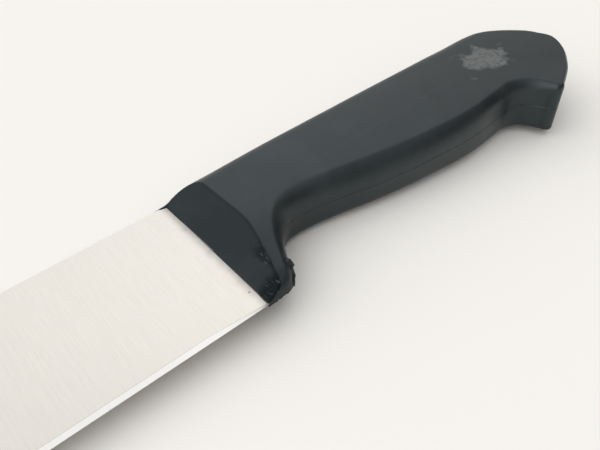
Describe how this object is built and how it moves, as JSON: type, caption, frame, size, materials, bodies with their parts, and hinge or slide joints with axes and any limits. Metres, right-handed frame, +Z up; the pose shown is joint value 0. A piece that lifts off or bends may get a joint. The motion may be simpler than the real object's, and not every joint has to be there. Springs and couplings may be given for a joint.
{
  "type": "chef knife",
  "caption": "Kitchen chef knife with a flat ground steel blade and a black moulded handle with a sloping front, finger guard and hooked butt.",
  "frame": {"origin": "middle of the underside of the box that holds the knife as it lies on its side", "axes": "+X from the tip towards the butt, +Y from the cutting edge towards the spine, +Z up from the table"},
  "size_m": [0.334, 0.0402, 0.019],
  "materials": {
    "blade_steel": "fine satin grind across the blade, bright bevelled edge",
    "handle_plastic": "black moulded, satin from use, scuffed at the guard"
  },
  "bodies": {
    "root": {"blade": "blade_steel", "handle": "handle_plastic"}
  },
  "joints": []
}
